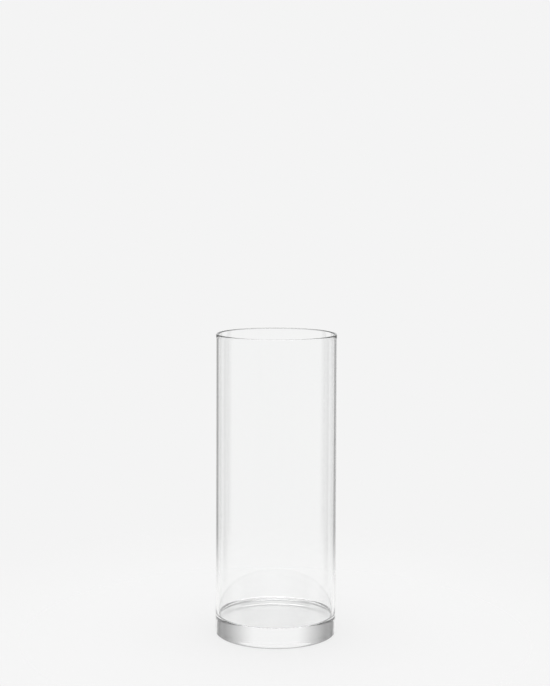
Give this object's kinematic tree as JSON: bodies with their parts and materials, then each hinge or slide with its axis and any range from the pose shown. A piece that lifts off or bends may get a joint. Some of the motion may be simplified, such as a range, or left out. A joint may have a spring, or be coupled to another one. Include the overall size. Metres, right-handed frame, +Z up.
{
  "type": "cylinder vase",
  "caption": "Tall straight-sided clear glass cylinder vase with an open polished rim and a thick solid base, for cut branches and flowers.",
  "frame": {"origin": "on the vase's axis, in the plane that the foot ring stands on", "axes": "+Z up along the vase's axis, out of its mouth; the vase is round, so +X and +Y are free"},
  "size_m": [0.2, 0.2, 0.5],
  "materials": {
    "clear_glass": "clear, fire-polished, ground foot ring"
  },
  "bodies": {
    "root": {"glass_vase": "clear_glass"}
  },
  "joints": []
}
